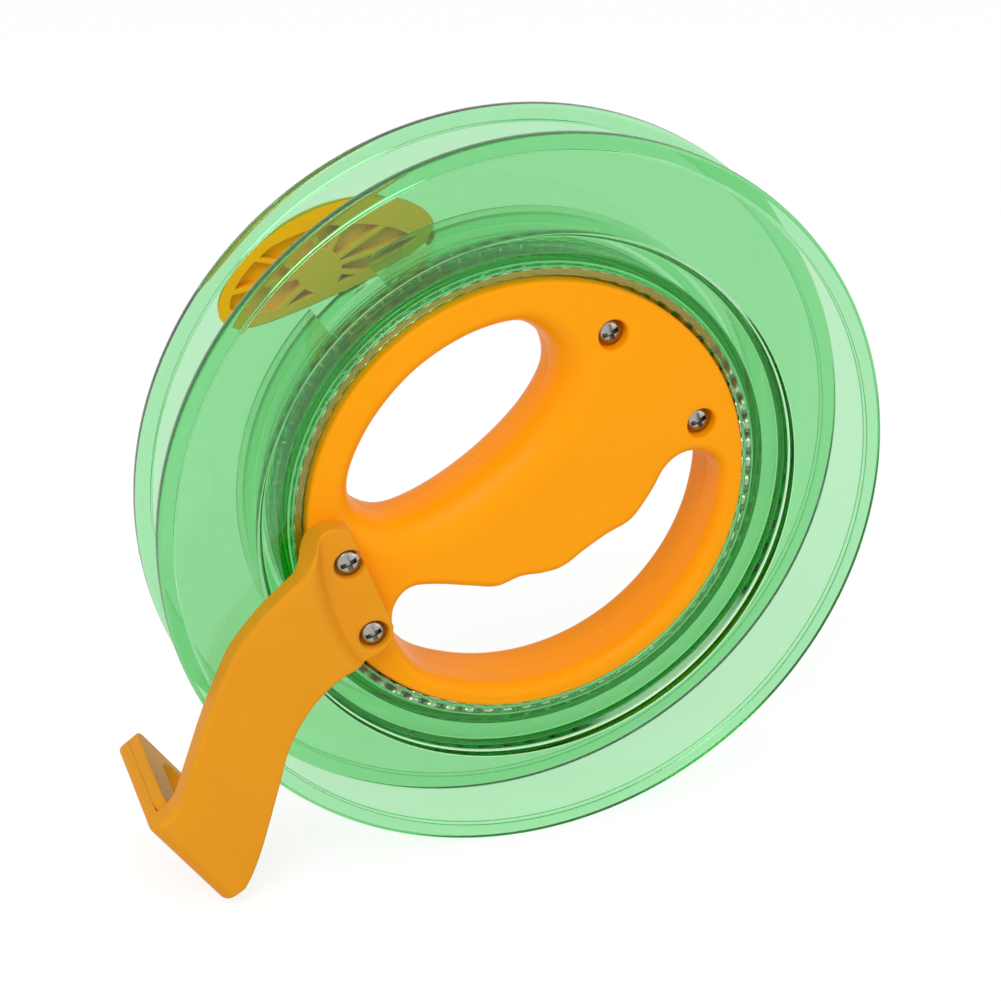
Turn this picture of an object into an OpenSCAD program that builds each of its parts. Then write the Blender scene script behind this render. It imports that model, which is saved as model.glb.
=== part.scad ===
// Handline reel: a clear two-flange spool turning on two rows of balls round a hand grip hub,
// with a winding knob on the far flange and a line guide arm screwed to the hub.
// Each piece is drawn lying flat with the front face up, and upright() then stands it as it is held.

/* [Spool] */
// Outside diameter of the two flanges
flange_d = 180; // [176:1:220]
// Distance between the outer faces of the two rims
reel_w = 28; // [27:0.5:34]
// Thickness of the flange plates
flange_t = 2.2; // [1.6:0.1:2.8]
// Width of the thick bead round each rim
bead_w = 4; // [3.4:0.1:4.2]
// Thickness of the bead
bead_t = 3.2; // [2.9:0.1:3.4]
// Outside diameter of the drum that the line is wound on
drum_d = 132.6; // [132:0.2:140]
// Wall thickness of the drum
drum_wall = 2.5; // [1.5:0.1:2.7]
// Thickness of the web between the drum and the bearing collar
web_t = 2; // [1.5:0.1:3]
// Depth of the web below the front rim
web_depth = 4.8; // [4:0.1:5.2]
// Wall of the bearing collar outside the ball groove
collar_wall = 1.7; // [1.2:0.1:1.8]
// Diameter of the hole in the drum that the line is tied to
tie_hole_d = 2.6; // [1.5:0.1:4]

/* [Bearing] */
// Diameter of the steel balls
ball_d = 4.5; // [4:0.1:4.6]
// Number of balls in each row
ball_count = 72; // [40:1:74]
// Diameter of the circle through the ball centres
ball_pitch_d = 113; // [112.4:0.1:113.2]
// Distance of each row from the middle of the reel
ball_row_z = 5.2; // [4:0.1:5.6]
// How far the collar's groove takes in each ball
groove_depth = 1.1; // [0.8:0.1:1.4]
// How far the hub's groove takes in each ball
hub_groove_depth = 0.4; // [0.3:0.1:0.8]
// Clearance between a ball and its grooves
ball_clearance = 0.05; // [0.02:0.01:0.08]
// Gap between the hub and the lip that covers the balls
lip_gap = 1.1; // [0.7:0.05:1.2]

/* [Hub] */
// Height of the hub's crown above the middle of the reel
hub_crown = 12; // [11.2:0.1:13.5]
// Height of the hub's face near its edge
hub_edge = 10.2; // [9.9:0.1:10.8]
// Rounding of the hub's outer edge
hub_edge_round = 1; // [0.6:0.1:2]
// Depth of the soft rounding round the palm hole
palm_round = 9; // [4:0.5:9]
// Depth of the rounding round the finger hole
finger_round = 4; // [2:0.5:5]
// Depth of the pockets that lighten the grip bar inside
grip_pocket_depth = 7; // [4:0.5:8]

/* [Guide arm] */
// Thickness of the arm's strap
arm_t = 6; // [4.8:0.2:7]
// Gap between the strap and the front rim
arm_gap = 1.4; // [1:0.1:2]
// Height of the screw pad above its seat in the hub
pad_t = 6.8; // [6.6:0.1:8]
// Distance from the spin axis to the outside of the hook
hook_reach = 117; // [116:0.5:122]
// Thickness of the hook plate
hook_t = 3.4; // [2.8:0.1:5]
// Thickness of the liner plate inside the hook
liner_t = 3; // [2:0.1:4]
// Width of the slot that the line runs through
eye_w = 12.2; // [8:0.2:16]
// Length of that slot
eye_l = 34; // [24:0.5:36]

/* [Screws] */
// Shank diameter of the self-tapping screws
screw_d = 3; // [2.5:0.1:3.4]
// Head diameter of the screws
screw_head_d = 6; // [5:0.1:6.4]
// Head height of the screws
screw_head_h = 2.2; // [1.8:0.1:2.8]
// Clearance round the shanks of the screws
screw_clearance = 0.05; // [0.02:0.01:0.1]
// Depth of the grip screws' counterbores
counterbore_depth = 4; // [3:0.1:5]

/* [Knob] */
// Length of the oval winding knob along the rim
knob_l = 51; // [40:0.5:56]
// Width of the oval winding knob across the flange
knob_w = 20; // [17:0.2:20.4]
// How much further out one end of the oval lies than its middle
knob_lean = 6.6; // [0:0.1:6.8]
// Height of the knob behind the rear flange
knob_h = 13; // [9:0.5:18]
// Least width of the rim round the knob's pockets
knob_wall = 1.8; // [1.2:0.1:2.2]
// Depth of the knob's pockets
pocket_depth = 4; // [2:0.5:5]
// Width of the lip that seats on the rear flange
knob_lip = 0.5; // [0.3:0.1:0.6]
// Clearance between the knob and its window
knob_clearance = 0.1; // [0.05:0.01:0.2]

/* [Hidden] */
$fn = 96;

// The reel is held with its guide arm pointing down to the left
hold_angle = 215.16;
green = [0.45, 0.85, 0.5, 0.55];
orange = [0.96, 0.6, 0.1];
steel = [0.75, 0.75, 0.75];

// How far a cut runs past the face that it opens
cut = 1;
half_w = reel_w / 2;
flange_r = flange_d / 2;
drum_r = drum_d / 2;
drum_in_r = drum_r - drum_wall;
bead_chamfer = 0.3;
plate_out_z = half_w - (bead_t - flange_t) / 2;
plate_in_z = plate_out_z - flange_t;

// The front web lies in a recess with a sloping wall
web_top_z = half_w - web_depth;
recess_r = drum_r + 0.4;
recess_floor_r = drum_in_r - 1;
tie_hole_angle = 31;
tie_hole_z = -7;

// A notch in the drum's wall, above the knob and open towards the rear
notch_w = 16.6;
notch_angle = 272.5;
notch_top_z = web_top_z - web_t - 0.5;

// The rear half locates inside the drum with a low spigot
spigot_t = 2;
spigot_h = 2.5;
spigot_clearance = 0.1;

ball_r = ball_d / 2;
ball_pitch_r = ball_pitch_d / 2;
groove_r = ball_r + ball_clearance;
hub_race_r = ball_pitch_r - groove_r;
hub_r = hub_race_r + hub_groove_depth;
collar_race_r = ball_pitch_r + groove_r;
collar_in_r = collar_race_r - groove_depth;
collar_out_r = collar_race_r + collar_wall;
lip_t = 2.2;

// The upper screw of each pair comes first
arm_screws = [[41.5, -21.8], [48.1, -2.9]];
grip_screws = [[-38.9, -20.9], [-43.2, 13.3]];
screw_tip_z = -6;
screw_tip_l = 1.5;
head_clearance = 0.6;
grip_seat_z = hub_edge + 0.5 - counterbore_depth;
pad_counterbore_depth = 3;

// The pad sits in a shallow seat in the hub's face, and the strap runs out above the front rim
pad_seat_z = hub_edge - 0.6;
pad_top_z = pad_seat_z + pad_t;
pad_clearance = 0.15;
pad_outer_r = collar_in_r - 1.2;
strap_back_z = half_w + arm_gap;
strap_front_z = strap_back_z + arm_t;
strap_root_r = 52.5;
hook_edge_round = 1.2;
hook_corner_r = 4;
hook_lo = -3.2;
hook_hi = 26;
hook_in_x = hook_reach - hook_t;
liner_in_x = hook_in_x - liner_t;
liner_edge_round = 0.8;
liner_gap = 0.3;
eye_mid = (hook_lo + hook_hi) / 2;

// The knob's oval lies on the flat of the rear flange, between the collar and the bead
knob_r = (collar_out_r + flange_r - bead_w) / 2 - 0.05;
knob_angle = 270;
knob_slope = knob_lean / (knob_l / 2);
knob_round = 4.5;
knob_taper = 3;
knob_lip_t = 1;

// The pockets fan out from a plain boss, inside a second oval that leans more than the knob does
boss_place = [4, -71];
boss_r = 5.4;
rib_t = 1.5;
rib_angles = [6, 45, 100, 135, 158, 175, 205, 239, 309, 334];
pocket_half_l = 23;
pocket_half_w = 9.7;
pocket_slope = 0.485;
pocket_mid_r = knob_r - 3.2;

// The palm hole between the grip bar and the ring, against the clock
palm_top_share = 0.45;
palm_loop = smooth_loop([[3, -12.8], [-11, -14.4], [-21.5, -18.8], [-25.8, -25], [-26, -31.5],
                         [-22.5, -38], [-12, -42.9], [1, -44.5], [14, -42.2], [25, -37], [31, -31],
                         [31.8, -24.5], [27.5, -17.8], [17, -14]], 4);

// The finger hole: the ring's inner wall first, then the four finger waves of the grip bar
finger_ring_wall = 6.1;
finger_ring_r = hub_r - finger_ring_wall;
finger_spread = 3;
finger_waves = [[-40.6, 26], [-39, 20.5], [-35, 17.4], [-30, 17.3], [-24, 20], [-16, 22.4], [-9, 21.2],
                [-3, 20.6], [4, 20.3], [9, 18], [13.5, 14.8], [19.5, 12.6], [24, 8], [30, 1.5],
                [35, -2.2], [40, -1.2], [43.6, 2.6], [45.8, 8.5]];
finger_loop = smooth_loop(concat(arc(finger_ring_r, 22, 140, 9), finger_waves), 3);
grip_pocket = smooth_loop([[-30, -2], [-28, 10], [-16, 14], [0, 13], [10, 10], [22, 4], [26, -2], [0, 2]],
                          3);

// The screw pad's inner outline, closed by an arc at the hub's edge
pad_side = [[54.5, 0], [48, 1.8], [44.6, 1.3], [43.2, -0.5], [42.6, -4], [41.5, -9.5], [39.6, -14.5],
            [37.2, -19.5], [36.4, -24], [37, -27.5], [40, -31.5], [45, -32.5]];
pad_loop = concat(pad_side, arc(pad_outer_r, -35, -1, 8));

// The strap's outline: its outer side, the hook's end, then its inner side back to the hub
strap_far_side = [[58, -28.9], [66, -28], [74, -25.7], [82, -21.4], [90, -16.4], [100, -9.4], [109, -3.5]];
strap_near_side = [[109.4, 25.6], [102, 20.8], [95, 15.4], [88.5, 10.2], [80, 3.5], [73, -0.1], [64, -2]];
strap_loop = concat(arc(strap_root_r, -4, -32, 6), smooth_line(strap_far_side, 3),
                    arc_at([hook_reach - hook_corner_r, hook_lo + hook_corner_r], hook_corner_r, -90, 0, 4),
                    arc_at([hook_reach - hook_corner_r, hook_hi - hook_corner_r], hook_corner_r, 0, 90, 4),
                    smooth_line(strap_near_side, 3));

// Points along an arc about a centre, and about the spin axis
function arc_at(center, r, from, to, steps) =
    [for (i = [0:steps]) let (a = from + (to - from) * i / steps) center + r * [cos(a), sin(a)]];
function arc(r, from, to, steps) = arc_at([0, 0], r, from, to, steps);

// The entry of a closed loop, counted round past its ends
function around(loop, i) = loop[(i + len(loop)) % len(loop)];

// A point of the smooth curve between b and c, whose neighbours are a and d
function between(a, b, c, d, t) =
    0.5 * (2 * b + (c - a) * t + (2 * a - 5 * b + 4 * c - d) * t * t + (3 * b - a - 3 * c + d) * t * t * t);

// A smooth closed loop through the given points
function smooth_loop(points, steps) =
    [for (i = [0:len(points) - 1]) for (k = [0:steps - 1])
        between(around(points, i - 1), points[i], around(points, i + 1), around(points, i + 2), k / steps)];

// A smooth open line through the given points
function smooth_line(points, steps) =
    let (last = len(points) - 1)
    concat([for (i = [0:last - 1]) for (k = [0:steps - 1])
        between(points[max(i - 1, 0)], points[i], points[i + 1], points[min(i + 2, last)], k / steps)],
        [points[last]]);

// A rectangle with round corners
function round_box(low, high, r) =
    concat(arc_at([high.x - r, low.y + r], r, -90, 0, 4), arc_at([high.x - r, high.y - r], r, 0, 90, 4),
           arc_at([low.x + r, high.y - r], r, 90, 180, 4), arc_at([low.x + r, low.y + r], r, 180, 270, 4));

// An oval bent along the rim, whose distance from the spin axis rises along it
function rim_oval(mid_r, half_l, half_w, slope) =
    [for (t = [0:6:354])
        let (along = -half_l * cos(t),
             a = knob_angle + along / knob_r * 180 / PI,
             r = mid_r + half_w * sin(t) + slope * along)
        r * [cos(a), sin(a)]];

// The knob's own oval, grown by a distance
function knob_loop(growth = 0) = rim_oval(knob_r, knob_l / 2 + growth, knob_w / 2 + growth, knob_slope);

// The direction out of a loop at one of its points
function outward(loop, i) =
    let (along = around(loop, i + 1) - around(loop, i - 1)) [along.y, -along.x] / norm(along);

// The loop grown by a distance, which falls to the given share where the loop faces -Y
function grown(loop, distance, share) =
    [for (i = [0:len(loop) - 1])
        let (way = outward(loop, i)) loop[i] + way * distance * (share + (1 - share) * (1 + way.y) / 2)];

// Heights and growths of a cutter whose mouth is rounded over, from the middle of the reel upwards
function mouth_levels(top, depth, spread) =
    concat([[-cut, 0]],
           [for (a = [0:15:90]) [top - depth + depth * sin(a), spread * (1 - cos(a))]],
           [[top + cut, spread + cut]]);

// Heights and growths of a plate, with a rounding of its low and high edges that may be nothing
function plate_levels(low, high, low_r, high_r) =
    concat([for (a = low_r > 0 ? [0:30:90] : [90]) [low + low_r * (1 - cos(a)), low_r * (sin(a) - 1)]],
           [for (a = high_r > 0 ? [90:-30:0] : [90]) [high - high_r * (1 - cos(a)), high_r * (sin(a) - 1)]]);

// The height of the hub's domed face at a distance from the spin axis
function dome(r) = hub_crown - (hub_crown - hub_edge) * pow(r / (hub_r - hub_edge_round), 2);

// The standing position of the finished reel
module upright() {
    rotate([90, 0, 0]) rotate([0, 0, hold_angle]) children();
}

// A solid between loops of equal length, each at its own height
module loft(loops, heights) {
    n = len(loops[0]);
    last = (len(loops) - 1) * n;
    corners = [for (j = [0:len(loops) - 1]) for (p = loops[j]) [p.x, p.y, heights[j]]];
    sides = [for (j = [0:len(loops) - 2]) for (i = [0:n - 1]) for (half = [0, 1])
        let (a = j * n + i, b = j * n + (i + 1) % n)
        half == 0 ? [a, a + n, b + n] : [a, b + n, b]];
    base = [[for (i = [0:n - 1]) i]];
    lid = [[for (i = [0:n - 1]) last + n - 1 - i]];
    polyhedron(points = corners, faces = concat(base, sides, lid), convexity = 8);
}

// A solid skinned over a loop that grows and shrinks from level to level
module skin(loop, levels, share = 1) {
    loft([for (level = levels) grown(loop, level[1], share)], [for (level = levels) level[0]]);
}

// A ring with a rectangular section
module ring(inner_r, outer_r, low, high) {
    rotate_extrude() translate([inner_r, low]) square([outer_r - inner_r, high - low]);
}

// A flange above the middle of the reel, with a bead whose outer edges are broken
module flange(inner_r) {
    bead_in_r = flange_r - bead_w;
    bead_low = half_w - bead_t;
    ring(inner_r, bead_in_r + cut / 2, plate_in_z, plate_out_z);
    rotate_extrude() polygon([[bead_in_r, bead_low], [flange_r - bead_chamfer, bead_low],
                              [flange_r, bead_low + bead_chamfer], [flange_r, half_w - bead_chamfer],
                              [flange_r - bead_chamfer, half_w], [bead_in_r, half_w]]);
}

// Half of the bearing collar, from the middle of the reel to the given height, with a lip over the balls
module collar(top) {
    difference() {
        union() {
            ring(collar_in_r, collar_out_r, 0, top);
            ring(hub_r + lip_gap, collar_in_r + cut / 2, web_top_z - lip_t, web_top_z);
        }
        rotate_extrude() translate([ball_pitch_r, ball_row_z]) circle(r = groove_r);
    }
}

module spool_front() {
    web_in_r = collar_out_r - cut / 2;
    color(green) upright() difference() {
        union() {
            flange(recess_r);
            ring(drum_in_r, drum_r, -plate_in_z, web_top_z - web_t / 2);
            rotate_extrude() polygon([[web_in_r, web_top_z - web_t], [drum_r, web_top_z - web_t],
                                      [drum_r, plate_in_z], [recess_r, plate_in_z], [recess_r, plate_out_z],
                                      [recess_floor_r, web_top_z], [web_in_r, web_top_z]]);
            collar(web_top_z);
        }
        rotate([0, 0, tie_hole_angle]) translate([drum_in_r - cut, 0, tie_hole_z])
            rotate([0, 90, 0]) cylinder(d = tie_hole_d, h = drum_wall + 2 * cut);
        rotate([0, 0, notch_angle]) translate([drum_in_r - cut, -notch_w / 2, -plate_in_z - cut])
            cube([drum_wall + 2 * cut, notch_w, plate_in_z + notch_top_z + cut]);
    }
}

module spool_rear() {
    spigot_r = drum_in_r - spigot_clearance;
    color(green) upright() difference() {
        mirror([0, 0, 1]) union() {
            flange(collar_out_r - cut / 2);
            collar(plate_out_z);
            ring(spigot_r - spigot_t, spigot_r, plate_in_z - spigot_h, plate_out_z);
        }
        translate([0, 0, -half_w - cut]) linear_extrude(half_w - plate_in_z + spigot_h + 2 * cut)
            polygon(knob_loop());
    }
}

// The knob's pockets, from their floor upwards
module knob_pockets(h) {
    difference() {
        intersection() {
            linear_extrude(h) polygon(knob_loop(-knob_wall));
            translate([0, 0, -cut]) linear_extrude(h + 2 * cut)
                polygon(rim_oval(pocket_mid_r, pocket_half_l, pocket_half_w, pocket_slope));
        }
        translate([boss_place.x, boss_place.y, -cut]) {
            cylinder(r = boss_r, h = h + 2 * cut);
            for (a = rib_angles)
                rotate([0, 0, a]) translate([0, -rib_t / 2, 0]) cube([knob_l, rib_t, h + 2 * cut]);
        }
    }
}

// The knob is narrow at its far end, and its lip lies against the back of the rear flange
module knob() {
    far_z = -half_w - knob_h;
    seat_z = -plate_out_z;
    face_z = -plate_in_z - knob_clearance;
    levels = concat([for (a = [0:30:90])
                        [far_z + knob_round * (1 - cos(a)), knob_round * (sin(a) - 1) - knob_taper]],
                    [[seat_z - knob_lip_t, 0], [seat_z - knob_lip_t, knob_lip], [seat_z, knob_lip],
                     [seat_z, -knob_clearance], [face_z, -knob_clearance]]);
    color(orange) upright() difference() {
        loft([for (level = levels) knob_loop(level[1])], [for (level = levels) level[0]]);
        translate([0, 0, face_z - pocket_depth]) knob_pockets(pocket_depth + cut);
    }
}

// One half of the hub, above the middle of the reel, with its two hand holes and its ball groove
module hub_half() {
    edge_r = hub_r - hub_edge_round;
    difference() {
        rotate_extrude() polygon(concat(
            [[0, 0], [hub_race_r, 0], [hub_race_r, ball_row_z], [hub_r, ball_row_z]],
            arc_at([edge_r, hub_edge - hub_edge_round], hub_edge_round, 0, 90, 4),
            [for (i = [7:-1:0]) [edge_r * i / 8, dome(edge_r * i / 8)]]));
        rotate_extrude() translate([ball_pitch_r, ball_row_z]) circle(r = groove_r);
        skin(palm_loop, mouth_levels(hub_crown, palm_round, palm_round), palm_top_share);
        skin(finger_loop, mouth_levels(hub_crown, finger_round, finger_spread));
        translate([0, 0, -cut]) linear_extrude(grip_pocket_depth + cut) polygon(grip_pocket);
    }
}

// Holes for the shanks of all four screws between two heights
module shank_holes(low, high) {
    for (place = concat(arm_screws, grip_screws))
        translate([place.x, place.y, low]) cylinder(d = screw_d + 2 * screw_clearance, h = high - low);
}

module hub_front() {
    color(orange) upright() difference() {
        hub_half();
        shank_holes(-cut, hub_crown + cut);
        translate([0, 0, pad_seat_z]) linear_extrude(hub_crown) polygon(grown(pad_loop, pad_clearance, 1));
        for (place = grip_screws)
            translate([place.x, place.y, grip_seat_z])
                cylinder(d = screw_head_d + 2 * head_clearance, h = hub_crown);
    }
}

module hub_rear() {
    color(orange) upright() difference() {
        mirror([0, 0, 1]) hub_half();
        shank_holes(screw_tip_z - screw_clearance, cut);
    }
}

// A row of balls at a height
module ball_row(height) {
    color(steel) upright()
        for (i = [0:ball_count - 1])
            rotate([0, 0, i * 360 / ball_count]) translate([ball_pitch_r, 0, height])
                sphere(d = ball_d, $fn = 24);
}

module balls_front() {
    ball_row(ball_row_z);
}

module balls_rear() {
    ball_row(-ball_row_z);
}

// The slot through the hook and its liner
module eye() {
    reach = (eye_l - eye_w) / 2;
    translate([liner_in_x - cut, eye_mid, 0]) rotate([0, 90, 0]) {
        for (end = [-reach, reach])
            translate([end, 0, 0]) cylinder(d = eye_w, h = hook_reach);
        translate([-reach, -eye_w / 2, 0]) cube([2 * reach, eye_w, hook_reach]);
    }
}

// A plate square to the arm, between two distances from the spin axis
module upright_plate(inner, outer, low, high, edge_round) {
    translate([inner, 0, 0]) rotate([90, 0, 90])
        skin(round_box([hook_lo, low], [hook_hi, high], hook_corner_r),
             plate_levels(0, outer - inner, edge_round, edge_round));
}

module guide_arm() {
    color(orange) upright() difference() {
        union() {
            translate([0, 0, pad_seat_z]) linear_extrude(pad_t) polygon(pad_loop);
            translate([0, 0, strap_back_z]) linear_extrude(arm_t) polygon(strap_loop);
            upright_plate(hook_in_x, hook_reach, -strap_front_z, strap_back_z + arm_t / 2, hook_edge_round);
        }
        eye();
        for (place = arm_screws) translate([place.x, place.y, 0]) {
            cylinder(d = screw_d + 2 * screw_clearance, h = strap_front_z + cut);
            translate([0, 0, pad_top_z - pad_counterbore_depth])
                cylinder(d = screw_head_d + 2 * head_clearance, h = strap_front_z);
        }
    }
}

module guide_liner() {
    color(orange) upright() difference() {
        upright_plate(liner_in_x, hook_in_x, -strap_front_z, strap_back_z - liner_gap, liner_edge_round);
        eye();
    }
}

// A pan-head screw with a cross recess, its head seated at a height
module pan_screw(place, seat_z) {
    head_r = screw_head_d / 2;
    edge_h = screw_head_h * 0.45;
    recess_w = screw_head_d * 0.16;
    recess_l = screw_head_d * 0.62;
    color(steel) upright() translate([place.x, place.y, 0]) difference() {
        rotate_extrude() polygon(concat(
            [[0, screw_tip_z], [screw_d / 2, screw_tip_z + screw_tip_l], [screw_d / 2, seat_z],
             [head_r, seat_z]],
            [for (a = [0:15:90]) [head_r * cos(a), seat_z + edge_h + (screw_head_h - edge_h) * sin(a)]]));
        for (turn = [75, 165])
            rotate([0, 0, turn]) translate([-recess_l / 2, -recess_w / 2, seat_z + screw_head_h * 0.35])
                cube([recess_l, recess_w, screw_head_h]);
    }
}

module arm_screw_upper() {
    pan_screw(arm_screws[0], pad_top_z - pad_counterbore_depth);
}

module arm_screw_lower() {
    pan_screw(arm_screws[1], pad_top_z - pad_counterbore_depth);
}

module grip_screw_upper() {
    pan_screw(grip_screws[0], grip_seat_z);
}

module grip_screw_lower() {
    pan_screw(grip_screws[1], grip_seat_z);
}

spool_front();
spool_rear();
knob();
hub_front();
hub_rear();
balls_front();
balls_rear();
guide_arm();
guide_liner();
arm_screw_upper();
arm_screw_lower();
grip_screw_upper();
grip_screw_lower();
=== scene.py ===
# %% [markdown]
# # A handline reel
# A clear green spool turns on two rows of steel balls round an orange hand grip, and an orange arm
# guides the line past its rims. The solids come in as a fixed frame that already has the right sizes and
# joints. This lesson dresses each of them with a finer surface and a finish that looks like the real
# plastic or steel.

# %% Load the frame
import math

import bmesh
import bpy
import numpy as np
from mathutils import Matrix, Vector
from mathutils.geometry import delaunay_2d_cdt


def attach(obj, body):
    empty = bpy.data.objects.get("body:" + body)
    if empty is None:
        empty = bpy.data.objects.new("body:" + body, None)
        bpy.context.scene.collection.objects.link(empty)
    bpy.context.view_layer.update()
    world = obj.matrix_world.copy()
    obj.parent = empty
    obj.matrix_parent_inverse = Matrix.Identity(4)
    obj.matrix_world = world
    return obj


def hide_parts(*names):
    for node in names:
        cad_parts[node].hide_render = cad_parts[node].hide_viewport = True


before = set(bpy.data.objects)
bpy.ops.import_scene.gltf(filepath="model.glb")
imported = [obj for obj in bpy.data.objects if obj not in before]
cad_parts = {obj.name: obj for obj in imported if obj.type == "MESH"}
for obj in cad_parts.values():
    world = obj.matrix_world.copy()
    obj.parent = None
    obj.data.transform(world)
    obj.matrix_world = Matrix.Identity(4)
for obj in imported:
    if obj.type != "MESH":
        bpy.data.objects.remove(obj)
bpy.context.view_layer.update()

print("nodes:", ", ".join(sorted(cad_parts)))

# %% [markdown]
# ## Standing the drawing up
# Every piece is easier to think about lying flat: x runs towards the guide arm, y towards the fingers and
# z out of the front face, in millimetres. One function then stands the drawing up as the reel is held.
# Blender could turn the objects instead, but their places have to be in their meshes, so the points turn.

# %% From the flat drawing to the held position
HOLD_ANGLE = math.radians(215.16)


def stand(points):
    """Turns x and y by the hold angle, lets the flat normal z become -Y, and goes from mm to metres."""
    x, y, z = np.moveaxis(np.asarray(points, dtype=float), -1, 0)
    sideways = x * math.cos(HOLD_ANGLE) - y * math.sin(HOLD_ANGLE)
    upwards = x * math.sin(HOLD_ANGLE) + y * math.cos(HOLD_ANGLE)
    return np.stack([sideways, -z, upwards], axis=-1) / 1000


print("the arm points towards", np.round(stand([100, 0, 0]), 3))

# %% [markdown]
# ## Grids, welds and cuts
# A surface here is a grid of points, and each cell of the grid is one face. A piece is a few such patches
# whose touching edges are welded together. A hole that runs across a finished surface is cut with an
# exact boolean, which is applied at once so that the piece keeps a plain mesh.

# %% Mesh helpers
WELD = 2e-6


def grid_faces(rows, columns, rows_closed=False, columns_closed=True):
    """The four corner numbers of every cell of a grid, wrapping round where a direction is closed."""
    row = np.arange(rows if rows_closed else rows - 1)
    column = np.arange(columns if columns_closed else columns - 1)
    row, column = np.meshgrid(row, column, indexing="ij")
    next_row = (row + 1) % rows
    next_column = (column + 1) % columns
    corners = [row * columns + column, row * columns + next_column,
               next_row * columns + next_column, next_row * columns + column]
    return np.stack(corners, axis=-1).reshape(-1, 4).tolist()


def loft(rings, ends=(True, True)):
    """Joins rings of equal length in order, and closes the first and last ring with a flat face if asked."""
    rings = np.asarray(rings, dtype=float)
    rows, columns = rings.shape[:2]
    faces = grid_faces(rows, columns)
    if ends[0]:
        faces.append(list(range(columns)))
    if ends[1]:
        faces.append(list(range((rows - 1) * columns, rows * columns)))
    return rings.reshape(-1, 3), faces


def make_object(name, patches):
    """One object from patches of (flat points in mm, faces), welded, with its faces turned outwards."""
    starts = np.cumsum([0] + [len(points) for points, faces in patches])
    points = stand(np.concatenate([points for points, faces in patches]))
    faces = [[corner + start for corner in face]
             for start, (_, patch) in zip(starts.tolist(), patches) for face in patch]
    mesh = bpy.data.meshes.new(name)
    mesh.from_pydata(points.tolist(), [], faces)
    work = bmesh.new()
    work.from_mesh(mesh)
    bmesh.ops.remove_doubles(work, verts=work.verts, dist=WELD)
    bmesh.ops.recalc_face_normals(work, faces=work.faces)
    work.to_mesh(mesh)
    work.free()
    piece = bpy.data.objects.new(name, mesh)
    bpy.context.scene.collection.objects.link(piece)
    return piece


def carve(piece, patches):
    """Cuts a second closed shape out of a piece and keeps the plain result."""
    tool = make_object("carving_tool", patches)
    step = piece.modifiers.new("carve", "BOOLEAN")
    step.object = tool
    step.operation = "DIFFERENCE"
    step.solver = "EXACT"
    shaped = piece.evaluated_get(bpy.context.evaluated_depsgraph_get())
    result = bpy.data.meshes.new_from_object(shaped)
    piece.modifiers.clear()
    piece.data = result
    bpy.data.objects.remove(tool)


def dress(piece, material, body, nodes, crease=32):
    """Gives a piece its finish, sharp edges above the crease angle and its body, and hides the CAD nodes it
    replaces.
    """
    mesh = piece.data
    mesh.materials.clear()
    mesh.materials.append(material)
    mesh.shade_smooth()
    mesh.set_sharp_from_angle(angle=math.radians(crease))
    weights = piece.modifiers.new("flat faces stay flat", "WEIGHTED_NORMAL")
    weights.keep_sharp = True
    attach(piece, body)
    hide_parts(*nodes)
    print(piece.name, "has", len(mesh.polygons), "faces")


# %% [markdown]
# ## Curves that the outlines are drawn with
# The hand holes and the arm are free curves through a few measured points. A Catmull-Rom curve passes
# through every one of them, which a Bezier drawn by hand would not do as directly.

# %% Curve helpers


def between(a, b, c, d, t):
    """The smooth curve from b to c, whose neighbours are a and d, at shares t of the way."""
    return 0.5 * (2 * b + (c - a) * t + (2 * a - 5 * b + 4 * c - d) * t**2 + (3 * b - a - 3 * c + d) * t**3)


def smooth_loop(points, steps):
    """A smooth closed loop through the points, with the given steps from each point to the next."""
    points = np.asarray(points, dtype=float)
    near = [np.roll(points, shift, axis=0)[:, None, :] for shift in (1, 0, -1, -2)]
    share = (np.arange(steps) / steps)[None, :, None]
    return between(*near, share).reshape(-1, points.shape[1])


def smooth_line(points, steps):
    """A smooth open line through the points, which starts at the first and ends at the last."""
    points = np.asarray(points, dtype=float)
    padded = np.concatenate([points[:1], points, points[-1:]])
    near = [padded[first:first + len(points) - 1][:, None, :] for first in range(4)]
    share = (np.arange(steps) / steps)[None, :, None]
    line = between(*near, share).reshape(-1, points.shape[1])
    return np.concatenate([line, points[-1:]])


def arc(center, radius, start, stop, count):
    """Points on an arc about a centre, from one angle in degrees to another."""
    angle = np.radians(np.linspace(start, stop, count))
    return np.asarray(center) + radius * np.stack([np.cos(angle), np.sin(angle)], axis=-1)


def circle(radius, count, center=(0, 0)):
    """Points evenly round a circle."""
    return arc(center, radius, 0, 360 * (1 - 1 / count), count)


def grown(loop, distance, share=1.0):
    """The loop moved outwards by a distance, which falls to the given share where the loop faces -y."""
    along = np.roll(loop, -1, axis=0) - np.roll(loop, 1, axis=0)
    out = np.stack([along[:, 1], -along[:, 0]], axis=-1) / np.linalg.norm(along, axis=1, keepdims=True)
    return loop + out * distance * (share + (1 - share) * (1 + out[:, 1:]) / 2)


def at_height(loop, height):
    """Flat points with a height added, one height for all or one for each."""
    return np.column_stack([loop, np.broadcast_to(height, len(loop))])


def rounded(corners, steps=5):
    """A closed outline from corners (x, y, r): each corner becomes a curve that leaves its sides r away."""
    corners = np.asarray(corners, dtype=float)
    place = corners[:, :2]
    before = np.roll(place, 1, axis=0) - place
    after = np.roll(place, -1, axis=0) - place
    start = place + before / np.linalg.norm(before, axis=1, keepdims=True) * corners[:, 2:]
    end = place + after / np.linalg.norm(after, axis=1, keepdims=True) * corners[:, 2:]
    share = np.linspace(0, 1, steps)[None, :, None]
    bend = ((1 - share)**2 * start[:, None] + 2 * share * (1 - share) * place[:, None]
            + share**2 * end[:, None])
    outline = bend.reshape(-1, 2)
    apart = np.linalg.norm(outline - np.roll(outline, 1, axis=0), axis=1)
    return outline[apart > 1e-6]


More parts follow.
